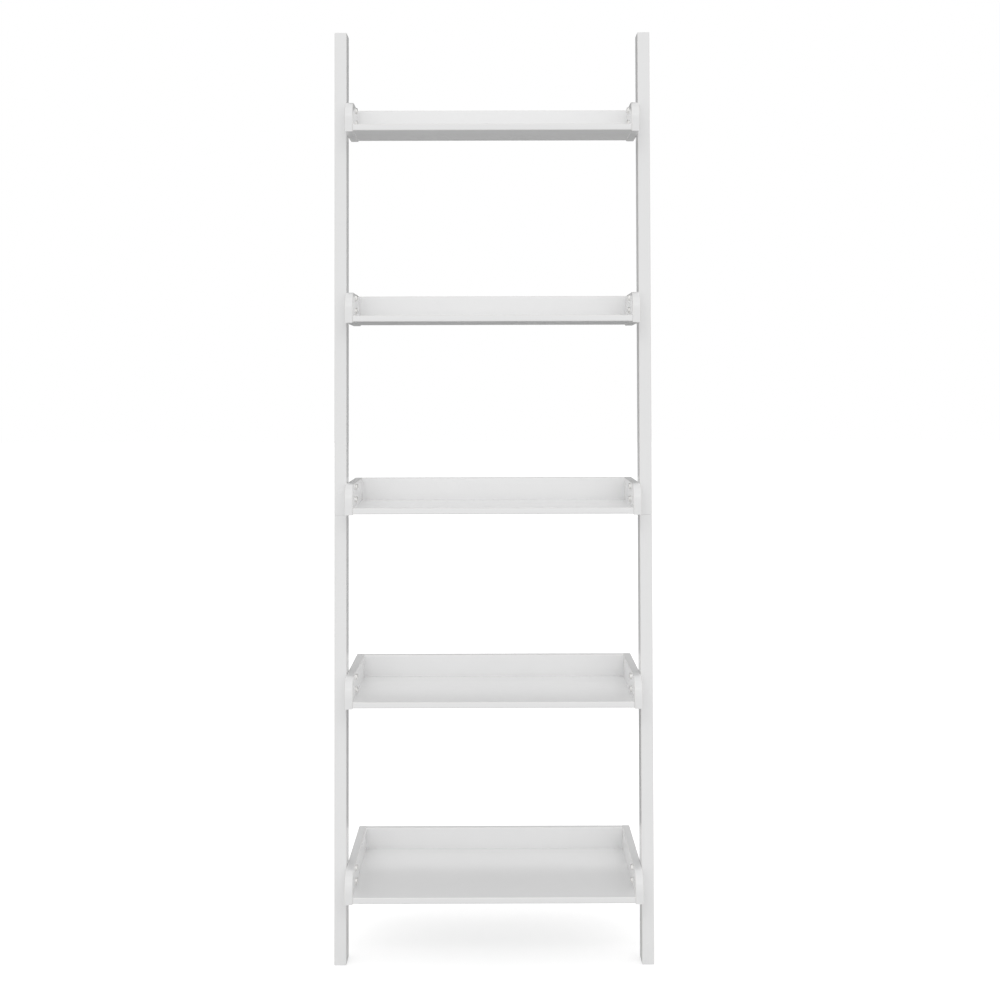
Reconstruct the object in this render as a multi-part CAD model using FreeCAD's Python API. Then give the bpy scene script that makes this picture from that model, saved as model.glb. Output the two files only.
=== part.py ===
import FreeCAD, Part
import math
import os

# A leaning shelf: two raking side rails carry five open-fronted trays that grow deeper downwards.
# Millimetres. X runs to the right seen from the front, the wall stands at +Y and Z is up.
# The origin lies on the floor, in the middle of the width and of the depth.

Vector = FreeCAD.Vector

# Whole shelf
overall_width = 628.0
overall_height = 1829.0
bottom_tray_depth = 368.0
top_tray_depth = 148.0
bottom_tray_height = 130.0
rail_above_top_tray = 203.0
tray_count = 5

# Side rails, each of two lengths that meet under the middle tray
rail_thickness = 24.0
rail_depth = 52.0
rail_edge_round = 1.5
rail_end_round = 1.0
seam_drop = 3.0
rail_wall_gap = 20.0

# Tray panels
panel_thickness = 16.0
board_thickness = 12.0
board_lift = 2.0
side_height = 60.0
side_corner_radius = 38.0
panel_edge_round = 2.0

# Bolts with a rounded head and a hexagon socket, two through each tray side
bolt_diameter = 6.0
bolt_head_diameter = 12.0
bolt_head_height = 4.0
bolt_head_round = 2.5
bolt_socket_width = 4.0
bolt_socket_depth = 2.5
bolt_tip_bevel = 1.0
lower_bolt_gap = 6.0
upper_bolt_drop = 9.0

# Threaded inserts that take the bolts, let into the inner faces of the rails
insert_diameter = 10.0
insert_length = 13.0
insert_flange_diameter = 13.0
insert_flange_thickness = 1.2
bolt_grip_share = 0.85

# Wooden dowels inside the tray corners and across the rail seams
dowel_diameter = 6.0
dowel_length = 30.0
dowel_bevel = 1.0
dowel_in_face_share = 0.62
board_dowel_shares = (0.15, 0.5, 0.85)
back_dowel_shares = (-0.38, 0.0, 0.38)
rail_dowel_length = 40.0
rail_dowel_shares = (0.2, 0.5)

# Cam fittings that draw the two lengths of a rail together, let into the backs of the rails
cam_diameter = 15.0
cam_bolt_depth = 12.0
cam_past_centre = 5.0
cam_slot_width = 1.6
cam_slot_depth = 2.0
cam_slot_length_share = 0.6
cam_bolt_reach = 30.0
cam_bolt_grip = 12.0
cam_bolt_thread_diameter = 6.0
cam_bolt_shank_diameter = 5.0
cam_bolt_neck_diameter = 3.6
cam_bolt_neck_length = 4.0
cam_bolt_head_diameter = 7.0
cam_bolt_head_length = 4.0

# Room left round fasteners, at the ends of blind holes and past cut faces
fit_clearance = 0.1
hole_end_gap = 0.8
overrun = 5.0

# How far two unit directions may differ and still count as parallel
parallel_share = 0.01

# What follows from these sizes
tray_steps = tray_count - 1
tray_spacing = (overall_height - rail_above_top_tray - bottom_tray_height) / tray_steps
depth_step = (bottom_tray_depth - top_tray_depth) / tray_steps
lean = math.atan2(depth_step, tray_spacing)
wall_y = bottom_tray_depth / 2
inner_x = overall_width / 2 - rail_thickness
board_end_x = inner_x - panel_thickness
rail_middle_x = inner_x + rail_thickness / 2
middle_tray = tray_steps // 2
seam_height = bottom_tray_height + middle_tray * tray_spacing - seam_drop
up_rail = Vector(0, math.sin(lean), math.cos(lean))
through_rail = Vector(0, math.cos(lean), -math.sin(lean))
board_top = board_lift + board_thickness
bolt_rises = (board_top + lower_bolt_gap + bolt_head_diameter / 2, side_height - upper_bolt_drop)
bolt_grip = insert_length * bolt_grip_share
cam_length = cam_bolt_depth + cam_past_centre


def tray_bottom(tray):
    """Height of the lower edge of a tray's sides; tray 0 is the lowest."""
    return bottom_tray_height + tray * tray_spacing


def tray_front(tray):
    """Y of a tray's front edge."""
    return wall_y - bottom_tray_depth + tray * depth_step


def rail_line_y(height, from_back):
    """Y at a height, on the line along a rail at a distance from its back face."""
    top_y = wall_y - rail_wall_gap
    return top_y - (overall_height - height) * math.tan(lean) - from_back / math.cos(lean)


def seam_point(from_front):
    """Point on the seam, cut square to the rail, at a distance from the rail's front face."""
    front = Vector(0, rail_line_y(seam_height, rail_depth), seam_height)
    return front + through_rail * from_front


def rounded(shape, radius, belongs):
    """The shape with those edges rounded that the test picks."""
    return shape.makeFillet(radius, [edge for edge in shape.Edges if belongs(edge)])


def runs_along(edge, direction):
    """True for a straight edge in a direction."""
    straight = isinstance(edge.Curve, Part.Line)
    return straight and edge.tangentAt(edge.FirstParameter).cross(direction).Length < parallel_share


def upright_plate(outline, side, near_x, thickness):
    """Plate of an outline in the YZ plane that grows outwards from near_x on a side of the shelf."""
    plate = Part.Face(outline).extrude(Vector(side * thickness, 0, 0))
    plate.translate(Vector(side * near_x, 0, 0))
    return plate


def turned(profile, base, direction):
    """Turned piece: (along, radius) points spun about the axis that leaves base in a direction."""
    points = [Vector(radius, 0, along) for along, radius in profile]
    piece = Part.Face(Part.makePolygon(points + points[:1])).revolve(Vector(), Vector(0, 0, 1))
    piece.Placement = FreeCAD.Placement(base, FreeCAD.Rotation(Vector(0, 0, 1), direction))
    return piece


def drilled(base, direction, length, diameter):
    """Cutter for a hole with room round a fastener and past both of its ends."""
    direction = Vector(direction).normalize()
    start = base - direction * hole_end_gap
    return Part.makeCylinder(diameter / 2 + fit_clearance, length + 2 * hole_end_gap, start, direction)


def dowel(base, direction, length):
    """Round wooden dowel with bevelled ends."""
    radius = dowel_diameter / 2
    tip = radius - dowel_bevel
    ends = [(0, 0), (0, tip), (dowel_bevel, radius)]
    return turned(ends + [(length - along, wide) for along, wide in reversed(ends)], base, direction)


def bolt(base, direction):
    """Furniture bolt whose head bears on base and whose shank runs in the direction."""
    radius = bolt_diameter / 2
    head = bolt_head_diameter / 2
    length = panel_thickness + bolt_grip
    profile = [(-bolt_head_height, 0), (-bolt_head_height, head), (0, head), (0, radius),
               (length - bolt_tip_bevel, radius), (length, radius - bolt_tip_bevel), (length, 0)]
    piece = rounded(turned(profile, Vector(), Vector(0, 0, 1)), bolt_head_round,
                    lambda edge: edge.BoundBox.ZMax < -bolt_head_height / 2)
    corner = bolt_socket_width / math.sqrt(3)
    corners = [Vector(corner, 0, 0)]
    for turn in range(6):
        corners.append(FreeCAD.Rotation(Vector(0, 0, 1), 60).multVec(corners[-1]))
    socket = Part.Face(Part.makePolygon(corners)).extrude(Vector(0, 0, bolt_socket_depth + overrun))
    socket.translate(Vector(0, 0, -bolt_head_height - overrun))
    piece = piece.cut(socket)
    piece.Placement = FreeCAD.Placement(base, FreeCAD.Rotation(Vector(0, 0, 1), direction))
    return piece


def insert_steps(bore, room, end):
    """Profile of a flanged insert, or of its seat when there is room round it."""
    flange = insert_flange_diameter / 2 + room
    body = insert_diameter / 2 + room
    shoulder = insert_flange_thickness + room
    return [(0, bore), (0, flange), (shoulder, flange), (shoulder, body), (end, body), (end, bore)]


def bolt_places(tray):
    """Points on a rail's raking centre line at the level of a tray's bolts, in the plane x = 0."""
    heights = [tray_bottom(tray) + rise for rise in bolt_rises]
    return [Vector(0, rail_line_y(height, rail_depth / 2), height) for height in heights]


def at_x(point, side, distance):
    """The point moved to a distance from the middle plane, on one side."""
    return Vector(side * distance, point.y, point.z)


def rail_seam_fittings(side):
    """Dowels, cam bolt and cam of one rail seam, with the cutters that make room for them."""
    seats = [at_x(seam_point(rail_depth * share), side, rail_middle_x) for share in rail_dowel_shares]
    starts = [seat - up_rail * (rail_dowel_length / 2) for seat in seats]
    dowels = [dowel(start, up_rail, rail_dowel_length) for start in starts]
    cutters = [drilled(start, up_rail, rail_dowel_length, dowel_diameter) for start in starts]

    seam_seat = at_x(seam_point(rail_depth - cam_bolt_depth), side, rail_middle_x)
    head_middle = seam_seat - up_rail * cam_bolt_reach
    head_half = cam_bolt_head_length / 2
    neck_end = head_half + cam_bolt_neck_length
    thread_end = cam_bolt_reach + cam_bolt_grip
    radii = [diameter / 2 for diameter in (cam_bolt_head_diameter, cam_bolt_neck_diameter,
                                           cam_bolt_shank_diameter, cam_bolt_thread_diameter)]
    head, neck, shank, thread = radii
    cam_bolt = turned([(-head_half, 0), (-head_half, head), (head_half, head), (head_half, neck),
                       (neck_end, neck), (neck_end, shank), (cam_bolt_reach, shank),
                       (cam_bolt_reach, thread), (thread_end, thread), (thread_end, 0)],
                      head_middle, up_rail)
    head_end = head_middle - up_rail * head_half
    passage = drilled(head_end, up_rail, head_half + cam_bolt_reach, cam_bolt_head_diameter)
    grip_hole = drilled(seam_seat, up_rail, cam_bolt_grip, cam_bolt_thread_diameter)

    cam_mouth = head_middle + through_rail * cam_bolt_depth
    inward = through_rail * -1
    cam = Part.makeCylinder(cam_diameter / 2, cam_length, cam_mouth, inward)
    slot_length = cam_diameter * cam_slot_length_share
    slot = Part.makeBox(slot_length, cam_slot_width, cam_slot_depth + overrun,
                        Vector(-slot_length / 2, -cam_slot_width / 2, -overrun))
    mouth = FreeCAD.Placement(cam_mouth, FreeCAD.Rotation(Vector(0, 0, 1), inward))
    for turn in (0, 90):
        arm = slot.copy()
        quarter = FreeCAD.Placement(Vector(), FreeCAD.Rotation(Vector(0, 0, 1), turn))
        arm.Placement = mouth.multiply(quarter)
        cam = cam.cut(arm)
    cam = cam.cut(passage)
    cam_seat = drilled(cam_mouth, inward, cam_length, cam_diameter)
    return dowels, cam_bolt, cam, cutters + [passage, grip_hole, cam_seat]


def rail(side, upper, cutters):
    """One length of a side rail, level at the floor or the top and square at the seam."""
    end_height = overall_height if upper else 0
    ends = [Vector(0, rail_line_y(end_height, from_back), end_height) for from_back in (0, rail_depth)]
    corners = [seam_point(0), seam_point(rail_depth)] + ends
    outline = Part.makePolygon(corners + corners[:1])
    length = upright_plate(outline, side, inner_x, rail_thickness)
    length = rounded(length, rail_edge_round, lambda edge: runs_along(edge, up_rail))
    end_faces = [face for face in length.Faces if len(face.Edges) > len(corners)]
    end_edges = [edge for face in end_faces for edge in face.Edges]
    length = length.makeFillet(rail_end_round, end_edges)
    outward = Vector(side, 0, 0)
    for tray in range(tray_count):
        for place in bolt_places(tray):
            mouth = at_x(place, side, inner_x)
            seat = insert_steps(0, fit_clearance, insert_length + hole_end_gap)
            cutters = cutters + [turned(seat, mouth, outward)]
    return length.cut(cutters)


def tray_dowel_places(tray):
    """Base, direction and length of the dowels that hold one tray together."""
    bottom = tray_bottom(tray)
    depth = wall_y - tray_front(tray)
    back_y = wall_y - panel_thickness / 2
    in_side = panel_thickness * dowel_in_face_share
    in_board = board_thickness * dowel_in_face_share
    ends = [(tray_front(tray) + depth * share, bottom + board_lift + board_thickness / 2)
            for share in board_dowel_shares]
    ends.append((back_y, bottom + (board_top + side_height) / 2))
    places = []
    for side in (-1, 1):
        for y, z in ends:
            places.append((Vector(side * (board_end_x + in_side), y, z), Vector(-side, 0, 0)))
    for share in back_dowel_shares:
        start = Vector(2 * board_end_x * share, back_y, bottom + board_top - in_board)
        places.append((start, Vector(0, 0, 1)))
    return places


def tray_side(tray, side, holes):
    """Side panel whose front top corner is rounded and whose edges are eased."""
    front = tray_front(tray)
    bottom = tray_bottom(tray)
    top = bottom + side_height
    bend = side_corner_radius
    middle = bend * (1 - math.sqrt(0.5))
    arc_start = Vector(0, front, top - bend)
    arc_end = Vector(0, front + bend, top)
    arc = Part.Arc(arc_start, Vector(0, front + middle, top - middle), arc_end).toShape()
    straight = Part.makePolygon([arc_end, Vector(0, wall_y, top), Vector(0, wall_y, bottom),
                                 Vector(0, front, bottom), arc_start])
    outline = Part.Wire([arc] + straight.Edges)
    panel = upright_plate(outline, side, board_end_x, panel_thickness)
    panel = rounded(panel, panel_edge_round, lambda edge: not runs_along(edge, Vector(1, 0, 0)))
    for place in bolt_places(tray):
        start = at_x(place, side, board_end_x)
        holes = holes + [drilled(start, Vector(side, 0, 0), panel_thickness, bolt_diameter)]
    return panel.cut(holes)


def tray_board(tray, holes):
    """Board between the sides, with an eased front lip."""
    front = tray_front(tray)
    low = Vector(-board_end_x, front, tray_bottom(tray) + board_lift)
    board = Part.makeBox(2 * board_end_x, wall_y - front, board_thickness, low)
    along = Vector(1, 0, 0)
    board = rounded(board, panel_edge_round,
                    lambda edge: runs_along(edge, along) and edge.CenterOfMass.y < front + overrun)
    return board.cut(holes)


def tray_back(tray, holes):
    """Back panel that stands on the rear of the board between the sides, with an eased top."""
    low = Vector(-board_end_x, wall_y - panel_thickness, tray_bottom(tray) + board_top)
    top = tray_bottom(tray) + side_height
    back = Part.makeBox(2 * board_end_x, panel_thickness, side_height - board_top, low)
    along = Vector(1, 0, 0)
    back = rounded(back, panel_edge_round,
                   lambda edge: runs_along(edge, along) and edge.CenterOfMass.z > top - overrun)
    return back.cut(holes)


def tray_pieces(tray):
    """All pieces of one tray by name, with the fasteners that hold it to the rails."""
    places = tray_dowel_places(tray)
    holes = [drilled(base, direction, dowel_length, dowel_diameter) for base, direction in places]
    bolts = []
    inserts = []
    for side in (-1, 1):
        outward = Vector(side, 0, 0)
        for place in bolt_places(tray):
            bolts.append(bolt(at_x(place, side, board_end_x), outward))
            bore = bolt_diameter / 2 + fit_clearance
            inserts.append(turned(insert_steps(bore, 0, insert_length), at_x(place, side, inner_x), outward))
    return {"side_left": tray_side(tray, -1, holes),
            "side_right": tray_side(tray, 1, holes),
            "board": tray_board(tray, holes),
            "back": tray_back(tray, holes),
            "dowels": Part.makeCompound([dowel(base, way, dowel_length) for base, way in places]),
            "bolts": Part.makeCompound(bolts),
            "inserts": Part.makeCompound(inserts)}


def all_pieces():
    """Every piece of the shelf by node name; tray_1 is the lowest tray."""
    pieces = {}
    seam_dowels = []
    cam_bolts = []
    cams = []
    for word, side in (("left", -1), ("right", 1)):
        dowels, cam_bolt, cam, cutters = rail_seam_fittings(side)
        seam_dowels += dowels
        cam_bolts.append(cam_bolt)
        cams.append(cam)
        pieces[f"rail_{word}_lower"] = rail(side, False, cutters)
        pieces[f"rail_{word}_upper"] = rail(side, True, cutters)
    pieces["rail_seam_dowels"] = Part.makeCompound(seam_dowels)
    pieces["rail_seam_cam_bolts"] = Part.makeCompound(cam_bolts)
    pieces["rail_seam_cams"] = Part.makeCompound(cams)
    for tray in range(tray_count):
        for name, shape in tray_pieces(tray).items():
            pieces[f"tray_{tray + 1}_{name}"] = shape
    return pieces


os.makedirs("parts", exist_ok=True)
for node, shape in all_pieces().items():
    shape.exportStep(f"parts/{node}.step")
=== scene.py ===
import math

import bmesh
import bpy
from mathutils import Matrix, Vector

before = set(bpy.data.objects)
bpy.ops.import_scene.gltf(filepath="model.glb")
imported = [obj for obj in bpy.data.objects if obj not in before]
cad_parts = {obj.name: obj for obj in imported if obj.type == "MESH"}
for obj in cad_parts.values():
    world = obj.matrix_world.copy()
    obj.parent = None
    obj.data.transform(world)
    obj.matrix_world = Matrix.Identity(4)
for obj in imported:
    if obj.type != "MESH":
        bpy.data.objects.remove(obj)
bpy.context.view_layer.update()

# The rails go back by one step from tray to tray; lengths are in metres and angles in radians
TRAY_PITCH = 0.374
TRAY_STEP_BACK = 0.055
LEAN = math.atan2(TRAY_STEP_BACK, TRAY_PITCH)
QUARTER_TURN = math.pi / 2

# Directions that the faces beside an eased edge look along
SIDEWAYS = (1.0, 0.0, 0.0)
UPWARDS = (0.0, 0.0, 1.0)

# Colours, as they are seen in plain light; the backs and boards are painted lighter than the
# rails and sides, painted light that makes up for the shade inside the trays
RAIL_WHITE = (0.875, 0.875, 0.875, 1.0)
BOARD_WHITE_PAINTED_LIGHT = (0.90, 0.90, 0.90, 1.0)
BACK_WHITE_PAINTED_LIGHT = (0.93, 0.93, 0.93, 1.0)
THIN_LACQUER = (0.86, 0.845, 0.815, 1.0)
NICKEL = (0.90, 0.895, 0.88, 1.0)
NICKEL_HAZE = (0.80, 0.79, 0.77, 1.0)
ZINC = (0.62, 0.64, 0.66, 1.0)
ZINC_TINGE = (0.66, 0.62, 0.50, 1.0)
BEECH = (0.62, 0.43, 0.26, 1.0)
BEECH_FLECK = (0.44, 0.27, 0.14, 1.0)
STUDIO_WHITE = (1.0, 1.0, 1.0, 1.0)
FLOOR_PALE = (0.70, 0.70, 0.70, 1.0)

# Layers of ever finer pattern in a noise
FEW_LAYERS = 2.0
SOME_LAYERS = 3.0
MANY_LAYERS = 4.0

# Sprayed lacquer: sizes of pattern per metre, and the lowest and highest change that each makes
CLOUD_SCALE = 4.5
CLOUD_SHADES = (0.985, 1.015)
CLOUD_SHEENS = (-0.02, 0.02)
DRIFT_SCALE = 38.0
DRIFT_SHEENS = (-0.02, 0.02)
DRIFT_HEIGHT = 2.0
PEEL_SCALE = 620.0
FILM_STRENGTH = 0.25
FILM_DEPTH = 0.00008
LACQUER_IOR = 1.48
RAIL_ROUGHNESS = 0.26
SIDE_ROUGHNESS = 0.24
BACK_ROUGHNESS = 0.22
BOARD_ROUGHNESS = 0.20

# Eased edges, where the film is thinner and smoother
WEAR_SCALE = 60.0
WEAR_SHARES = (0.3, 1.1)
EDGE_TINT = 0.8
EDGE_POLISH = 0.08

# Grain of the rails and rubs on the boards
GRAIN_STRETCH = (260.0, 260.0, 5.0)
GRAIN_HEIGHT = 1.6
RUB_STRETCH = (30.0, 420.0, 30.0)
RUB_TURN = 0.3
RUB_SHEENS = (-0.02, 0.02)

# Plated metal and bare wood
HAZE_SCALE = 240.0
HAZE_SHARES = (0.0, 0.5)
UNEVEN_SCALE = 4200.0
UNEVEN_SHEENS = (-0.04, 0.04)
NICKEL_ROUGHNESS = (0.46, 0.58)
TINGE_SCALE = 180.0
ZINC_ROUGHNESS = (0.35, 0.55)
FLECK_SCALE = 900.0
FLECK_STRENGTH = 0.3
FLECK_DEPTH = 0.0001
BEECH_ROUGHNESS = (0.55, 0.75)
ALL_METAL = 1.0

# Where the picture was taken from
CAMERA_PLACE = (0.00795, -3.38407, 1.13190)
CAMERA_PITCH = 0.11470
CAMERA_YAW = 0.00156
CAMERA_ROLL = 0.00243
CAMERA_LENS = 61.214
CAMERA_SENSOR = 36.0
CAMERA_SHIFT_UP = 0.08

# Studio
AMBIENT = 0.85
SEEN_WHITE = 1.0
FLOOR_LIFT = 0.54
FLOOR_HALF_SIZE = 30.0
REAR_CARD_HALF_SIZE = 2.5
REAR_CARD_PLACE = (0.0, 0.4, 2.5)
FOOT_CARD_HALF_SIZE = 0.3
FOOT_CARD_PLACE = (0.0, 0.1, 0.001)

# Heights on a card and its greys there, from the lowest upwards; these greys are painted
# reflections, setting how dark the gloss of the lacquer and plate looks at each height
REAR_CARD_REFLECTION_GREYS = ((0.38, 0.20), (0.50, 0.30), (0.95, 0.30),
                   (1.08, 0.20), (1.63, 0.20), (1.70, 0.05))
FOOT_CARD_REFLECTION_GREYS = ((0.0, 0.75), (1.0, 0.75))

# Name, place, aim, width and height, and power of each lamp
LAMPS = (("high_lamp", (0.0, -13.38, 12.94), (0.0, 0.0, 0.9), (15.0, 2.7), 271.0),
         ("front_lamp", (0.0, -13.0, 1.6), (0.0, 0.0, 1.0), (9.0, 4.0), 58.0))


def join(tree, value, socket):
    """Links a socket to another one, or sets it to a plain value."""
    if isinstance(value, bpy.types.NodeSocket):
        tree.links.new(value, socket)
    else:
        socket.default_value = value


def node(tree, kind, inputs=None, **settings):
    """Adds a shader node with its settings and inputs."""
    made = tree.nodes.new(kind)
    for name, value in settings.items():
        setattr(made, name, value)
    for name, value in (inputs or {}).items():
        join(tree, value, made.inputs[name])
    return made


def calc(tree, operation, first, second=0.0, third=0.0):
    """One step of arithmetic on values."""
    inputs = {0: first, 1: second, 2: third}
    return node(tree, "ShaderNodeMath", inputs, operation=operation).outputs[0]


def spread(tree, value, low, high):
    """A value from 0 to 1 spread between two others."""
    return calc(tree, "MULTIPLY_ADD", value, high - low, low)


def noise(tree, place, layers, scale=1.0):
    """Soft random values over the surface, with a size of pattern per metre."""
    inputs = {"Vector": place, "Scale": scale, "Detail": layers}
    return node(tree, "ShaderNodeTexNoise", inputs).outputs["Fac"]


def blended(tree, share, first, second):
    """Colour between two others by a share."""
    made = node(tree, "ShaderNodeMix", data_type="RGBA")
    for name, value in (("Factor_Float", share), ("A_Color", first), ("B_Color", second)):
        join(tree, value, next(s for s in made.inputs if s.identifier == name))
    return next(s for s in made.outputs if s.identifier == "Result_Color")


def effect(name, inputs, outputs):
    """Empty group of shader nodes: its tree, and the sockets that it is given and gives back."""
    tree = bpy.data.node_groups.new(name, "ShaderNodeTree")
    for direction, sockets in (("INPUT", inputs), ("OUTPUT", outputs)):
        for label, kind in sockets.items():
            tree.interface.new_socket(label, in_out=direction, socket_type="NodeSocket" + kind)
    entry = tree.nodes.new("NodeGroupInput")
    result = tree.nodes.new("NodeGroupOutput")
    return tree, entry.outputs, result.inputs


def place_effect(tree, group, inputs):
    """Sets a group into a material with its own values."""
    return node(tree, "ShaderNodeGroup", inputs, node_tree=group).outputs


def sprayed_film():
    """Sprayed lacquer: faint clouds of tone, uneven sheen and the fine peel of the film."""
    tree, given, out = effect(
        "sprayed_film",
        {"Place": "Vector", "Colour": "Color", "Roughness": "Float"},
        {"Colour": "Color", "Roughness": "Float", "Height": "Float"})
    clouds = noise(tree, given["Place"], SOME_LAYERS, CLOUD_SCALE)
    drift = noise(tree, given["Place"], SOME_LAYERS, DRIFT_SCALE)
    peel = noise(tree, given["Place"], FEW_LAYERS, PEEL_SCALE)
    shade = spread(tree, clouds, *CLOUD_SHADES)
    tint = node(tree, "ShaderNodeVectorMath", {0: given["Colour"], "Scale": shade},
                operation="SCALE")
    tree.links.new(tint.outputs["Vector"], out["Colour"])
    sheen = calc(tree, "ADD", spread(tree, clouds, *CLOUD_SHEENS),
                 spread(tree, drift, *DRIFT_SHEENS))
    tree.links.new(calc(tree, "ADD", given["Roughness"], sheen), out["Roughness"])
    height = calc(tree, "ADD", peel, calc(tree, "MULTIPLY", drift, DRIFT_HEIGHT))
    tree.links.new(height, out["Height"])
    return tree


def eased_edge():
    """Mask of the rounded edges between faces that look along an axis and those across it."""
    tree, given, out = effect(
        "eased_edge", {"Place": "Vector", "Axis": "Vector"}, {"Mask": "Float"})
    normal = node(tree, "ShaderNodeNewGeometry").outputs["Normal"]
    along = node(tree, "ShaderNodeVectorMath", {0: normal, 1: given["Axis"]},
                 operation="DOT_PRODUCT")
    facing = calc(tree, "ABSOLUTE", along.outputs["Value"])
    square = calc(tree, "MULTIPLY", facing, facing)
    across = calc(tree, "SQRT", calc(tree, "SUBTRACT", 1.0, square))
    turn = calc(tree, "MINIMUM", facing, across)
    worn = spread(tree, noise(tree, given["Place"], MANY_LAYERS, WEAR_SCALE), *WEAR_SHARES)
    tree.links.new(calc(tree, "MULTIPLY", turn, worn), out["Mask"])
    return tree


def finish_material(name):
    """New material: its tree, its shader and Object coordinates."""
    material = bpy.data.materials.new(name)
    material.use_nodes = True
    tree = material.node_tree
    shader = next(n for n in tree.nodes if n.type == "BSDF_PRINCIPLED")
    place = node(tree, "ShaderNodeTexCoord").outputs["Object"]
    return material, tree, shader, place


def feed(tree, shader, **sockets):
    """Links sockets to the shader's inputs, named with _ for a space."""
    for name, socket in sockets.items():
        tree.links.new(socket, shader.inputs[name.replace("_", " ")])


def lacquer(name, white, film, edges, axis, roughness, extra_height=None, extra_roughness=None):
    """White sprayed lacquer, thinner on the edges beside the faces that look along an axis."""
    material, tree, shader, place = finish_material(name)
    coat = place_effect(tree, film, {"Place": place, "Colour": white, "Roughness": roughness})
    edge = place_effect(tree, edges, {"Place": place, "Axis": axis})["Mask"]
    height = coat["Height"]
    sheen = coat["Roughness"]
    if extra_height:
        height = calc(tree, "ADD", height, extra_height(tree, place))
    if extra_roughness:
        sheen = calc(tree, "ADD", sheen, extra_roughness(tree, place))
    thinness = calc(tree, "MULTIPLY", edge, EDGE_TINT)
    colour = blended(tree, thinness, coat["Colour"], THIN_LACQUER)
    sheen = calc(tree, "SUBTRACT", sheen, calc(tree, "MULTIPLY", edge, EDGE_POLISH))
    bump = node(tree, "ShaderNodeBump",
                {"Height": height, "Strength": FILM_STRENGTH, "Distance": FILM_DEPTH})
    feed(tree, shader, Base_Color=colour, Roughness=sheen, Normal=bump.outputs["Normal"])
    shader.inputs["IOR"].default_value = LACQUER_IOR
    return material


def rail_grain(tree, place):
    """Grain of the rails that still shows faintly through the lacquer, along their lean."""
    turned = node(tree, "ShaderNodeMapping",
                  {"Vector": place, "Rotation": (LEAN, 0.0, 0.0), "Scale": GRAIN_STRETCH})
    grain = noise(tree, turned.outputs["Vector"], SOME_LAYERS)
    return calc(tree, "MULTIPLY", grain, GRAIN_HEIGHT)


def board_rubs(tree, place):
    """Fine rubs on the boards, where things are slid in and out."""
    drawn = node(tree, "ShaderNodeMapping",
                 {"Vector": place, "Rotation": (0.0, 0.0, RUB_TURN), "Scale": RUB_STRETCH})
    return spread(tree, noise(tree, drawn.outputs["Vector"], SOME_LAYERS), *RUB_SHEENS)


def bolt_nickel():
    """Satin nickel plate, with a faint haze and a fine unevenness of its sheen."""
    material, tree, shader, place = finish_material("bolt_nickel_plate")
    haze = noise(tree, place, SOME_LAYERS, HAZE_SCALE)
    uneven = noise(tree, place, FEW_LAYERS, UNEVEN_SCALE)
    feed(tree, shader,
         Base_Color=blended(tree, spread(tree, haze, *HAZE_SHARES), NICKEL, NICKEL_HAZE),
         Roughness=calc(tree, "ADD", spread(tree, haze, *NICKEL_ROUGHNESS),
                        spread(tree, uneven, *UNEVEN_SHEENS)))
    shader.inputs["Metallic"].default_value = ALL_METAL
    return material


def zinc_plate():
    """Dull zinc plate with a faint yellow tinge in places."""
    material, tree, shader, place = finish_material("zinc_plate_dull")
    tinge = noise(tree, place, MANY_LAYERS, TINGE_SCALE)
    feed(tree, shader,
         Base_Color=blended(tree, tinge, ZINC, ZINC_TINGE),
         Roughness=spread(tree, tinge, *ZINC_ROUGHNESS))
    shader.inputs["Metallic"].default_value = ALL_METAL
    return material


def beech():
    """Bare beech with short flecks."""
    material, tree, shader, place = finish_material("dowel_beech_bare")
    fleck = noise(tree, place, MANY_LAYERS, FLECK_SCALE)
    bump = node(tree, "ShaderNodeBump",
                {"Height": fleck, "Strength": FLECK_STRENGTH, "Distance": FLECK_DEPTH})
    feed(tree, shader,
         Base_Color=blended(tree, fleck, BEECH, BEECH_FLECK),
         Roughness=spread(tree, fleck, *BEECH_ROUGHNESS),
         Normal=bump.outputs["Normal"])
    return material


def dress_shelf():
    """Gives every piece of the shelf its finish."""
    film = sprayed_film()
    edges = eased_edge()
    rails = lacquer("rail_lacquer", RAIL_WHITE, film, edges, SIDEWAYS, RAIL_ROUGHNESS,
                    extra_height=rail_grain)
    sides = lacquer("side_lacquer", RAIL_WHITE, film, edges, SIDEWAYS, SIDE_ROUGHNESS)
    # Painted light: the backs and boards get lighter whites than the same lacquer on the rails
    # and sides, standing in for light that the trays' recesses shade
    backs = lacquer("back_lacquer_painted_light", BACK_WHITE_PAINTED_LIGHT, film, edges, UPWARDS, BACK_ROUGHNESS)
    boards = lacquer("board_lacquer_painted_light", BOARD_WHITE_PAINTED_LIGHT, film, edges, UPWARDS, BOARD_ROUGHNESS,
                     extra_roughness=board_rubs)
    nickel = bolt_nickel()
    zinc = zinc_plate()
    wood = beech()
    # The first ending that fits a piece's name gives its finish
    finishes = (("_cam_bolts", zinc), ("_bolts", nickel), ("_cams", zinc), ("_inserts", zinc),
                ("_dowels", wood), ("_board", boards), ("_back", backs),
                ("_side_left", sides), ("_side_right", sides),
                ("_lower", rails), ("_upper", rails))
    for name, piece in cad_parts.items():
        material = next(m for ending, m in finishes if name.endswith(ending))
        for slot in piece.material_slots:
            slot.material = material


def seen_directly(tree):
    """1 for rays that show the studio itself: to the camera, in gloss or through glass."""
    path = node(tree, "ShaderNodeLightPath").outputs
    first = calc(tree, "MAXIMUM", path["Is Camera Ray"], path["Is Glossy Ray"])
    return calc(tree, "MAXIMUM", first, path["Is Transmission Ray"])


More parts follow.
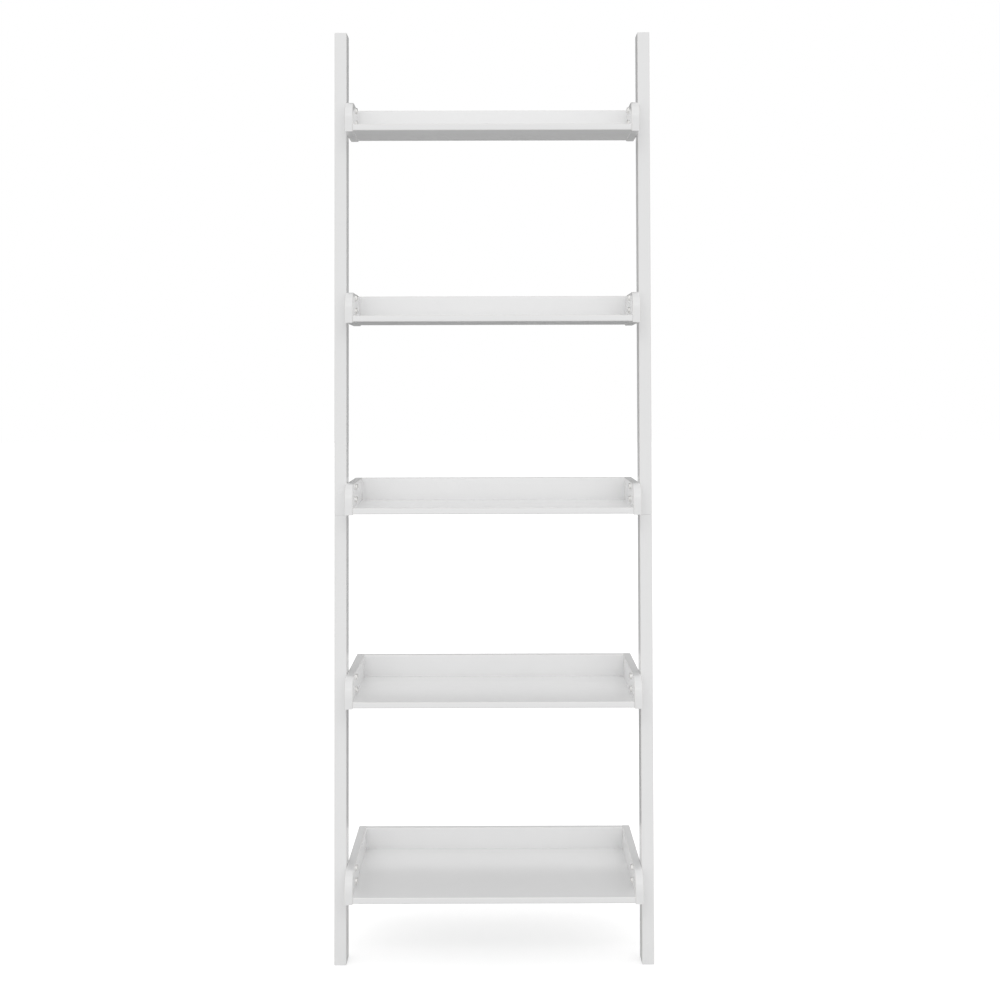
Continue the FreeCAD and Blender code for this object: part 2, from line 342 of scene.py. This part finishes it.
def studio_world():
    """Soft even light, seen as plain white."""
    world = bpy.data.worlds.new("studio")
    world.use_nodes = True
    tree = world.node_tree
    tree.nodes.clear()
    light = node(tree, "ShaderNodeBackground", {"Color": STUDIO_WHITE, "Strength": AMBIENT})
    white = node(tree, "ShaderNodeBackground", {"Color": STUDIO_WHITE, "Strength": SEEN_WHITE})
    mix = node(tree, "ShaderNodeMixShader",
               {0: seen_directly(tree), 1: light.outputs[0], 2: white.outputs[0]})
    node(tree, "ShaderNodeOutputWorld", {"Surface": mix.outputs[0]})
    bpy.context.scene.world = world


def stage_material(name):
    """New material for the stage: itself and its empty tree."""
    material = bpy.data.materials.new(name)
    material.use_nodes = True
    material.node_tree.nodes.clear()
    return material, material.node_tree


def flat_sheet(name, half_size, placing, material):
    """Flat square sheet of one face."""
    sheet = bmesh.new()
    bmesh.ops.create_grid(sheet, x_segments=1, y_segments=1, size=half_size, matrix=placing)
    mesh = bpy.data.meshes.new(name)
    sheet.to_mesh(mesh)
    sheet.free()
    mesh.materials.append(material)
    made = bpy.data.objects.new(name, mesh)
    bpy.context.scene.collection.objects.link(made)
    return made


def studio_floor():
    """Wide pale floor that looks white and keeps the shelf's shadow."""
    material, tree = stage_material("floor_pale")
    pale = node(tree, "ShaderNodeBsdfDiffuse", {"Color": FLOOR_PALE})
    glow = node(tree, "ShaderNodeEmission", {"Color": STUDIO_WHITE, "Strength": FLOOR_LIFT})
    lifted = node(tree, "ShaderNodeAddShader", {0: pale.outputs[0], 1: glow.outputs[0]})
    mix = node(tree, "ShaderNodeMixShader",
               {0: seen_directly(tree), 1: pale.outputs[0], 2: lifted.outputs[0]})
    node(tree, "ShaderNodeOutputMaterial", {"Surface": mix.outputs[0]})
    floor = flat_sheet("floor", FLOOR_HALF_SIZE, Matrix.Identity(4), material)


def grey_by_height(tree, greys):
    """Grey that goes over from one tone to the next between their heights."""
    place = node(tree, "ShaderNodeTexCoord").outputs["Object"]
    height = node(tree, "ShaderNodeSeparateXYZ", {"Vector": place}).outputs["Z"]
    tone = greys[0][1]
    for (low, first), (high, second) in zip(greys, greys[1:]):
        share = node(tree, "ShaderNodeMapRange",
                     {"Value": height, "From Min": low, "From Max": high}).outputs["Result"]
        tone = calc(tree, "MULTIPLY_ADD", share, second - first, tone)
    return tone


def gloss_card(name, greys, half_size, placing):
    """Grey card out of the camera's sight, that only the gloss of the lacquer and plate shows: a
    painted reflection that lights nothing and casts no shadow.
    """
    material, tree = stage_material(name)
    face = node(tree, "ShaderNodeBsdfDiffuse", {"Color": grey_by_height(tree, greys)})
    node(tree, "ShaderNodeOutputMaterial", {"Surface": face.outputs[0]})
    card = flat_sheet(name, half_size, placing, material)
    card.visible_camera = False
    card.visible_diffuse = False
    card.visible_shadow = False


def studio_cards():
    """A dark card upright behind the shelf and a paler one on the floor between its feet, seen
    only as painted reflections in the gloss.
    """
    upright = Matrix.Translation(REAR_CARD_PLACE) @ Matrix.Rotation(QUARTER_TURN, 4, "X")
    gloss_card("rear_card", REAR_CARD_REFLECTION_GREYS, REAR_CARD_HALF_SIZE, upright)
    level = Matrix.Translation(FOOT_CARD_PLACE)
    gloss_card("foot_card", FOOT_CARD_REFLECTION_GREYS, FOOT_CARD_HALF_SIZE, level)


def soft_lamp(name, place, aim, size, power):
    """Wide soft lamp that looks from a place to an aim."""
    lamp = bpy.data.lights.new(name, "AREA")
    lamp.shape = "RECTANGLE"
    lamp.size, lamp.size_y = size
    lamp.energy = power
    holder = bpy.data.objects.new(name, lamp)
    holder.location = place
    holder.rotation_euler = (Vector(aim) - Vector(place)).to_track_quat("-Z", "Y").to_euler()
    bpy.context.scene.collection.objects.link(holder)


def picture_camera():
    """Camera where the picture was taken from."""
    lens = bpy.data.cameras.new("picture_camera")
    lens.sensor_width = CAMERA_SENSOR
    lens.lens = CAMERA_LENS
    lens.shift_y = CAMERA_SHIFT_UP
    camera = bpy.data.objects.new("picture_camera", lens)
    turn = (Matrix.Rotation(-CAMERA_YAW, 4, "Z")
            @ Matrix.Rotation(QUARTER_TURN - CAMERA_PITCH, 4, "X")
            @ Matrix.Rotation(-CAMERA_ROLL, 4, "Z"))
    camera.matrix_world = Matrix.Translation(CAMERA_PLACE) @ turn
    bpy.context.scene.collection.objects.link(camera)
    bpy.context.scene.camera = camera


bpy.context.scene.view_settings.view_transform = "Standard"
dress_shelf()
studio_world()
studio_floor()
studio_cards()
for lamp in LAMPS:
    soft_lamp(*lamp)
picture_camera()
